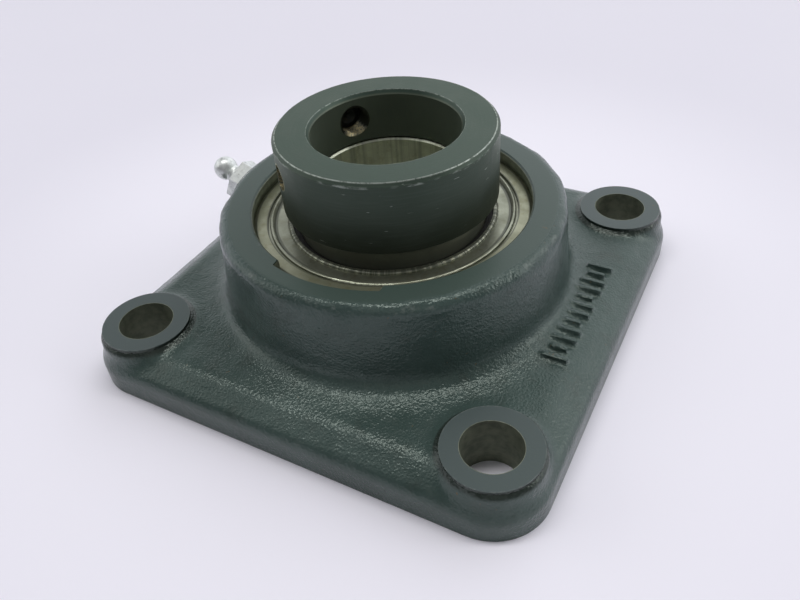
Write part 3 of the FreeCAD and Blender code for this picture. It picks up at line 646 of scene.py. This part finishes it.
def make_casting():
    """The housing with blended corners and a sand-cast skin, its machined faces kept true."""
    source = NODES["housing"].data.copy()
    source.transform(Matrix.Scale(1 / MM, 4))
    shape = bmesh.new()
    shape.from_mesh(source)
    bmesh.ops.remove_doubles(shape, verts=shape.verts, dist=WELD)
    shape.normal_update()
    exact = BVHTree.FromBMesh(shape)
    machined = edge_samples(shape, is_machined)
    hollows = edge_samples(shape, is_cast_hollow)
    shape.to_mesh(source)
    shape.free()

    holder = bpy.data.objects.new("casting_source", source)
    bpy.context.scene.collection.objects.link(holder)
    remesh = holder.modifiers.new("even_mesh", "REMESH")
    remesh.mode = "VOXEL"
    remesh.voxel_size = CASTING_VOXEL
    remesh.adaptivity = 0.0
    evaluated = holder.evaluated_get(bpy.context.evaluated_depsgraph_get())
    mesh = bpy.data.meshes.new_from_object(evaluated)
    mesh.name = "housing_casting"
    bpy.data.objects.remove(holder)

    flat = np.empty(len(mesh.vertices) * 3)
    mesh.vertices.foreach_get("co", flat)
    points = flat.reshape(-1, 3)
    links = np.empty(len(mesh.edges) * 2, np.int32)
    mesh.edges.foreach_get("vertices", links)
    links = links.reshape(-1, 2)

    fixed = np.zeros(len(points), bool)
    gaps = np.empty(len(points))
    for index, point in enumerate(points):
        spot, _, gap = machined.find(point)
        if gap < SNAP_REACH * 1.5:
            points[index] = spot
            fixed[index] = True
        else:
            points[index] = exact.find_nearest(point)[0]
        gaps[index] = hollows.find(point)[2]

    share = cast_share(points) * ~fixed
    blended = share * (1.0 - smooth_step(gaps, 1.0, 3.4)) * (1.0 - bar_share(points))
    points = relax(points, links, blended, BLEND_ROUNDS)
    points = relax(points, links, share * (1.0 - 0.6 * bar_share(points)), SKIN_ROUNDS)

    mesh.vertices.foreach_set("co", points.ravel())
    mesh.update()
    normals = np.empty(len(points) * 3, np.float32)
    mesh.vertex_normals.foreach_get("vector", normals)
    normals = normals.reshape(-1, 3)
    share = cast_share(points) * ~fixed
    lift = relief(points) * share
    reach = np.abs(points[:, :2]).max(1)
    lift = np.minimum(lift, FLANGE_HALF - reach + 10.0 * (reach < FLANGE_HALF - 0.5))
    points = points + normals * lift[:, None]
    points[:, :2] = np.clip(points[:, :2], -FLANGE_HALF, FLANGE_HALF)

    mesh.vertices.foreach_set("co", (points * MM).ravel())
    mesh.update()
    mesh.shade_smooth()
    mesh.set_sharp_from_angle(angle=SHARP_EDGE)
    mesh.materials.clear()
    mesh.materials.append(painted_casting())
    casting = bpy.data.objects.new("housing_casting", mesh)
    bpy.context.scene.collection.objects.link(casting)
    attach(casting, "housing")
    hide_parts("housing")
    return casting


# ---------------------------------------------------------------- the valve's spring


def make_spring():
    """The grease fitting's spring, copied with its own mesh and dressed in wire; the real spring
    shortens as its check ball is pushed in.
    """
    spring = bpy.data.objects.new("valve_spring", NODES["check_spring"].data.copy())
    bpy.context.scene.collection.objects.link(spring)
    spring.data.materials.clear()
    spring.data.materials.append(wire())
    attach(spring, "housing")
    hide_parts("check_spring")
    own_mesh(spring)
    return spring


# ---------------------------------------------------------------- floor, light and camera

FLOOR_HALF = 4.0  # m
FLOOR_GAP = 0.02  # mm, so that the floor and the mounting face aren't in one plane
PAINTED_LIGHT_NEAR, PAINTED_LIGHT_FAR = 75.0, 170.0  # mm from the shaft, between which the painted light round the object fades out
DIM_LIGHT, CEILING_LIGHT, WINDOW_LIGHT = 0.12, 0.62, 1.15
# name, place and size in metres, and watts of each lamp
LAMPS = (
    ("overhead", (-0.15, 0.25, 2.5), (3.0, 0.45), 31.0),
    ("right_side", (2.3, 0.9, 1.2), (1.4, 1.4), 12.0),
    ("left_front", (-2.2, -1.0, 1.3), (1.4, 1.4), 7.0),
    ("front_fill", (1.0, -1.8, 1.6), (2.0, 2.0), 4.0),
)


def ramp(tree, value, low, high, first, last):
    """A socket that goes from first at low to last at high, and stays there beyond them."""
    made = tree.nodes.new("ShaderNodeMapRange")
    tree.links.new(value, made.inputs["Value"])
    for socket, number in zip(list(made.inputs)[1:5], (low, high, first, last)):
        socket.default_value = number
    return made.outputs[0]


def facing(tree, direction, towards):
    """How far a direction points towards another."""
    made = tree.nodes.new("ShaderNodeVectorMath")
    made.operation = "DOT_PRODUCT"
    tree.links.new(direction, made.inputs[0])
    made.inputs[1].default_value = towards
    return made.outputs["Value"]


def multiply(tree, first, second):
    """The product of two sockets' values."""
    made = tree.nodes.new("ShaderNodeMath")
    made.operation = "MULTIPLY"
    tree.links.new(first, made.inputs[0])
    tree.links.new(second, made.inputs[1])
    return made.outputs[0]


def make_floor():
    """A plain pale floor, with painted light round the object that makes it paler there."""
    shape = bmesh.new()
    bmesh.ops.create_grid(shape, x_segments=1, y_segments=1, size=FLOOR_HALF)
    mesh = bpy.data.meshes.new("floor")
    shape.to_mesh(mesh)
    shape.free()
    floor = bpy.data.objects.new("floor", mesh)
    floor.location.z = -FLOOR_GAP * MM
    bpy.context.scene.collection.objects.link(floor)
    look = Look("pale_floor")
    cloud = look.noise(60.0, 3.0)
    # painted light: the floor is paler round the object, lifting the object's shadow on it
    pale = look.step(look.radius, PAINTED_LIGHT_FAR, PAINTED_LIGHT_NEAR)
    paper = look.mix(cloud, (0.747, 0.733, 0.808), (0.762, 0.748, 0.818))
    paper = look.mix(look.times(pale, 0.95), paper, (0.875, 0.860, 0.930))
    mesh.materials.append(look.finish(Base_Color=paper, Roughness=0.7))


def make_world():
    """A dim room with a window at the back right, a pale wall at the left and a ceiling."""
    world = bpy.data.worlds.new("studio")
    world.use_nodes = True
    tree = world.node_tree
    direction = tree.nodes.new("ShaderNodeTexCoord").outputs["Generated"]
    up = facing(tree, direction, (0.0, 0.0, 1.0))
    back = facing(tree, direction, (0.0, 1.0, 0.0))
    right = facing(tree, direction, (0.883, 0.469, 0.0))
    left = facing(tree, direction, (-0.7, 0.714, 0.0))
    over = facing(tree, direction, (-0.40, -0.29, 0.87))
    window_right = ramp(tree, right, -0.12, 0.06, 0.0, WINDOW_LIGHT)
    window_back = ramp(tree, back, 0.1, 0.4, 0.0, 1.0)
    window_top = ramp(tree, up, 0.80, 0.92, 1.0, 0.0)
    window = multiply(tree, multiply(tree, window_right, window_back), window_top)
    wall_left = ramp(tree, left, 0.3, 0.6, 0.0, 1.0)
    wall_top = ramp(tree, up, 0.74, 0.45, 0.0, 1.0)
    wall = multiply(tree, wall_left, wall_top)
    ceiling = ramp(tree, over, 0.88, 0.98, DIM_LIGHT, CEILING_LIGHT)
    light = tree.nodes.new("ShaderNodeMath")
    light.operation = "MAXIMUM"
    tree.links.new(window, light.inputs[0])
    tree.links.new(wall, light.inputs[1])
    total = tree.nodes.new("ShaderNodeMath")
    tree.links.new(light.outputs[0], total.inputs[0])
    tree.links.new(ceiling, total.inputs[1])
    background = tree.nodes["Background"]
    background.inputs["Color"].default_value = (0.93, 0.94, 1.0, 1.0)
    tree.links.new(total.outputs[0], background.inputs["Strength"])
    bpy.context.scene.world = world


def make_lamps():
    """Soft rectangular lamps, all aimed at the origin."""
    for name, place, size, power in LAMPS:
        lamp = bpy.data.lights.new(name, "AREA")
        lamp.shape = "RECTANGLE"
        lamp.size, lamp.size_y = size
        lamp.energy = power
        lamp.color = (1.0, 0.985, 0.98)
        holder = bpy.data.objects.new(name, lamp)
        holder.location = place
        holder.rotation_euler = (-Vector(place)).to_track_quat("-Z", "Y").to_euler()
        bpy.context.scene.collection.objects.link(holder)


def make_camera():
    """Looks down at the front right from close by, turned a little about its own axis."""
    azimuth, elevation, roll = (math.radians(angle) for angle in (31.32, 40.52, -5.10))
    target = Vector((12.33, -20.63, 20.0)) * MM
    distance = 171.08 * MM
    data = bpy.data.cameras.new("camera")
    data.sensor_width = 36.0
    data.lens = 33.09
    data.clip_start = 0.01
    data.clip_end = 20.0
    back = Vector((
        math.sin(azimuth) * math.cos(elevation),
        -math.cos(azimuth) * math.cos(elevation),
        math.sin(elevation),
    ))
    right = Vector((math.cos(azimuth), math.sin(azimuth), 0.0))
    turn = Matrix.Rotation(roll, 3, back)
    right = turn @ right
    up = back.cross(right)
    camera = bpy.data.objects.new("camera", data)
    rotation = Matrix((right, up, back)).transposed().to_4x4()
    camera.matrix_world = Matrix.Translation(target + back * distance) @ rotation
    bpy.context.scene.collection.objects.link(camera)
    bpy.context.scene.camera = camera


make_casting()
dress(black_collar(), "locking_collar")
dress(turned_steel("ground_outer_ring", *RING_STEEL, oil_and_shade_share=ring_edge_lines), "outer_ring")
dress(turned_steel("ground_inner_ring", *BORE_STEEL, oil_and_shade_share=neck_shade_and_bore_streaks), "inner_ring")
dress(
    turned_steel("pressed_cover_steel", *COVER_STEEL, oil_and_shade_share=cover_shade),
    "front_seal_cover", "rear_seal_cover", "front_seal_backing", "rear_seal_backing",
)
dress(
    turned_steel("cage_steel", *CAGE_STEEL),
    "cage_front_half", "cage_rear_half", "cage_rivets",
)
dress(turned_steel("black_screw_steel", *SCREW_STEEL), "set_screw")
dress(rubber(), "front_seal_lip", "rear_seal_lip")
dress(zinc(), "grease_fitting_body")
dress(polished_balls(), "check_ball", *(f"ball_{number}" for number in range(1, BALLS + 1)))
make_spring()
bpy.context.scene.view_settings.view_transform = "Standard"
make_floor()
make_world()
make_lamps()
make_camera()
